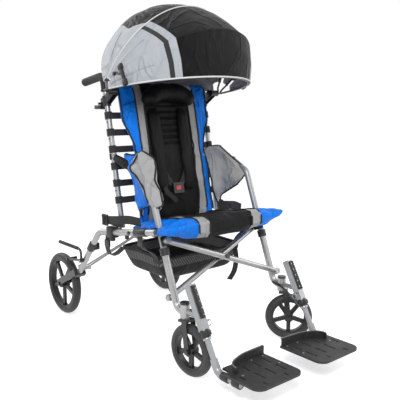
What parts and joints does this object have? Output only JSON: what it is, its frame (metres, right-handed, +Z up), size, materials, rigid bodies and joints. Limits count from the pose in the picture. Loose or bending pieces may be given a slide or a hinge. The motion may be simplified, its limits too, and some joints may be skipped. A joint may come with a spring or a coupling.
{
  "type": "special needs buggy",
  "caption": "Folding special needs buggy with swivel casters, padded sling seat and back, harness, hinged sun canopy, storage basket, brakes and sliding flip-up footrests.",
  "frame": {"origin": "on the floor, midway between the side frames and midway between the footplates' front edge and the back of the rear wheels", "axes": "+Z up, -Y towards the front where the passenger faces, +X to the passenger's left"},
  "size_m": [0.6564, 1.3708, 1.3436],
  "materials": {
    "silver_tube": "satin anodised",
    "grey_tube": "satin grey powder coat",
    "black_plastic": "moulded black plastic",
    "foam_grip": "soft black foam",
    "front_tread": "grey solid tyre",
    "rear_tread": "dark solid tyre",
    "black_steel": "black powder coat",
    "black_webbing": "woven webbing",
    "blue_cloth": "coated blue cloth",
    "black_cloth": "black padded cloth",
    "grey_cloth": "grey padded cloth",
    "basket_cloth": "black mesh cloth",
    "canopy_grey": "silver grey canopy cloth",
    "canopy_black": "black canopy cloth",
    "red_button": "moulded red plastic"
  },
  "bodies": {
    "right_frame": {"right_front_leg": "silver_tube", "right_arm_tube": "grey_tube", "right_leg_collar": "black_plastic", "right_seat_rail": "silver_tube", "right_frame_joints": "black_plastic", "right_back_cane": "silver_tube", "right_push_grip": "foam_grip", "right_back_straps": "black_webbing", "right_canopy_clamp": "black_plastic", "right_rear_fork": "black_steel", "right_hanger": "grey_tube", "right_side_panel": "grey_cloth", "seat_cushion": "blue_cloth", "back_pad": "black_cloth", "head_pillow": "black_cloth", "harness": "black_webbing", "buckle": "black_plastic", "basket": "basket_cloth", "canopy_rear": "canopy_grey", "rear_bow": "black_steel"},
    "left_frame": {"left_front_leg": "silver_tube", "left_arm_tube": "grey_tube", "left_leg_collar": "black_plastic", "left_seat_rail": "silver_tube", "left_frame_joints": "black_plastic", "left_back_cane": "silver_tube", "left_push_grip": "foam_grip", "left_back_straps": "black_webbing", "left_canopy_clamp": "black_plastic", "left_rear_fork": "black_steel", "left_hanger": "grey_tube", "left_side_panel": "grey_cloth"},
    "rear_brace_body": {"rear_brace": "silver_tube", "brace_bolt": "black_steel"},
    "front_brace_body": {"front_brace": "silver_tube"},
    "left_runner_body": {"left_runner": "black_plastic"},
    "left_link_body": {"left_rear_link": "silver_tube"},
    "left_caster": {"left_caster_fork": "black_steel"},
    "left_front_wheel": {"left_front_tyre": "front_tread", "left_front_rim": "black_plastic"},
    "left_rear_wheel": {"left_rear_tyre": "rear_tread", "left_rear_rim": "black_plastic"},
    "left_brake": {"left_brake_pedal": "black_steel"},
    "left_footrest": {"left_footrest_tube": "grey_tube"},
    "left_plate": {"left_footplate": "black_plastic"},
    "right_runner_body": {"right_runner": "black_plastic"},
    "right_link_body": {"right_rear_link": "silver_tube"},
    "right_caster": {"right_caster_fork": "black_steel"},
    "right_front_wheel": {"right_front_tyre": "front_tread", "right_front_rim": "black_plastic"},
    "right_rear_wheel": {"right_rear_tyre": "rear_tread", "right_rear_rim": "black_plastic"},
    "right_brake": {"right_brake_pedal": "black_steel"},
    "right_footrest": {"right_footrest_tube": "grey_tube"},
    "right_plate": {"right_footplate": "black_plastic"},
    "canopy_mid_body": {"canopy_mid": "canopy_black", "mid_bow": "black_steel"},
    "canopy_visor_body": {"canopy_visor": "canopy_black", "visor_bow": "black_steel"},
    "button_body": {"buckle_button": "red_button"}
  },
  "joints": [
    {"name": "fold", "type": "hinge", "parent": "right_frame", "child": "rear_brace_body", "pos_m": [-0.25, -0.25117, 0.268], "axis": [0, -0.9361, 0.3518], "range_deg": [0, 25], "deforming": ["seat_cushion", "back_pad", "head_pillow", "harness", "buckle", "basket", "canopy_rear", "rear_bow", "canopy_mid", "mid_bow", "canopy_visor", "visor_bow", "left_side_panel", "right_side_panel", "left_back_straps", "right_back_straps", "buckle_button", "left_canopy_clamp", "right_canopy_clamp"]},
    {"name": "brace_cross", "type": "hinge", "parent": "rear_brace_body", "child": "front_brace_body", "pos_m": [0, -0.21599, 0.36161], "axis": [0, -0.9361, 0.3518], "range_deg": [-50, 0]},
    {"name": "left_fold", "type": "hinge", "parent": "front_brace_body", "child": "left_frame", "pos_m": [0.25, -0.25117, 0.268], "axis": [0, -0.9361, 0.3518], "range_deg": [0, 25]},
    {"name": "left_runner_slide", "type": "slide", "parent": "left_frame", "child": "left_runner_body", "axis": [0, 0.3518, 0.9361], "range_m": [0, 0.19257]},
    {"name": "left_link_swing", "type": "hinge", "parent": "left_frame", "child": "left_link_body", "pos_m": [0.25, 0.38383, 0.246], "axis": [0, 1, 0], "range_deg": [0, 25]},
    {"name": "left_caster_swivel", "type": "hinge", "parent": "left_frame", "child": "left_caster", "pos_m": [0.25, -0.30917, 0.2043], "axis": [0, 0, 1], "continuous": true},
    {"name": "left_front_wheel_spin", "type": "hinge", "parent": "left_caster", "child": "left_front_wheel", "pos_m": [0.27153, -0.33147, 0.095], "axis": [0.7193, 0.6947, 0], "continuous": true},
    {"name": "left_rear_wheel_spin", "type": "hinge", "parent": "left_frame", "child": "left_rear_wheel", "pos_m": [0.282, 0.54539, 0.14], "axis": [1, 0, 0], "continuous": true},
    {"name": "left_brake_press", "type": "hinge", "parent": "left_frame", "child": "left_brake", "pos_m": [0.282, 0.33569, 0.29139], "axis": [-1, 0, 0], "range_deg": [0, 8]},
    {"name": "left_footrest_height", "type": "slide", "parent": "left_frame", "child": "left_footrest", "axis": [0, 0.4862, 0.8739], "range_m": [0, 0.06]},
    {"name": "left_plate_flip", "type": "hinge", "parent": "left_footrest", "child": "left_plate", "pos_m": [0.25, -0.58788, 0.062], "axis": [0, 1, 0], "range_deg": [0, 85]},
    {"name": "right_runner_slide", "type": "slide", "parent": "right_frame", "child": "right_runner_body", "axis": [0, 0.3518, 0.9361], "range_m": [0, 0.19257]},
    {"name": "right_link_swing", "type": "hinge", "parent": "right_frame", "child": "right_link_body", "pos_m": [-0.25, 0.38383, 0.246], "axis": [0, 1, 0], "range_deg": [-25, 0]},
    {"name": "right_caster_swivel", "type": "hinge", "parent": "right_frame", "child": "right_caster", "pos_m": [-0.25, -0.30917, 0.2043], "axis": [0, 0, 1], "continuous": true},
    {"name": "right_front_wheel_spin", "type": "hinge", "parent": "right_caster", "child": "right_front_wheel", "pos_m": [-0.24622, -0.33994, 0.095], "axis": [0.9925, 0.1219, 0], "continuous": true},
    {"name": "right_rear_wheel_spin", "type": "hinge", "parent": "right_frame", "child": "right_rear_wheel", "pos_m": [-0.282, 0.54539, 0.14], "axis": [1, 0, 0], "continuous": true},
    {"name": "right_brake_press", "type": "hinge", "parent": "right_frame", "child": "right_brake", "pos_m": [-0.282, 0.33569, 0.29139], "axis": [-1, 0, 0], "range_deg": [0, 8]},
    {"name": "right_footrest_height", "type": "slide", "parent": "right_frame", "child": "right_footrest", "axis": [0, 0.4862, 0.8739], "range_m": [0, 0.06]},
    {"name": "right_plate_flip", "type": "hinge", "parent": "right_footrest", "child": "right_plate", "pos_m": [-0.25, -0.58788, 0.062], "axis": [0, 1, 0], "range_deg": [-85, 0]},
    {"name": "visor_lift", "type": "hinge", "parent": "right_frame", "child": "canopy_visor_body", "pos_m": [0, 0.12583, 1], "axis": [-1, 0, 0], "range_deg": [0, 40]},
    {"name": "canopy_mid_lift", "type": "hinge", "parent": "right_frame", "child": "canopy_mid_body", "pos_m": [0, 0.12583, 1], "axis": [-1, 0, 0], "range_deg": [0, 40]},
    {"name": "button_press", "type": "slide", "parent": "right_frame", "child": "button_body", "axis": [0, 0.9809, -0.1947], "range_m": [0, 0.0025], "stiffness_N_per_m": 400}
  ],
  "couplings": [
    {"joint": "brace_cross", "follows": "fold", "ratio": -2},
    {"joint": "left_fold", "follows": "fold", "ratio": 1},
    {"joint": "left_runner_slide", "follows": "fold", "m_per_rad": 0.44134},
    {"joint": "left_link_swing", "follows": "fold", "ratio": 1},
    {"joint": "left_plate_flip", "follows": "fold", "ratio": 3.4},
    {"joint": "right_runner_slide", "follows": "fold", "m_per_rad": 0.44134},
    {"joint": "right_link_swing", "follows": "fold", "ratio": -1},
    {"joint": "right_plate_flip", "follows": "fold", "ratio": -3.4},
    {"joint": "canopy_mid_lift", "follows": "visor_lift", "ratio": 1}
  ]
}
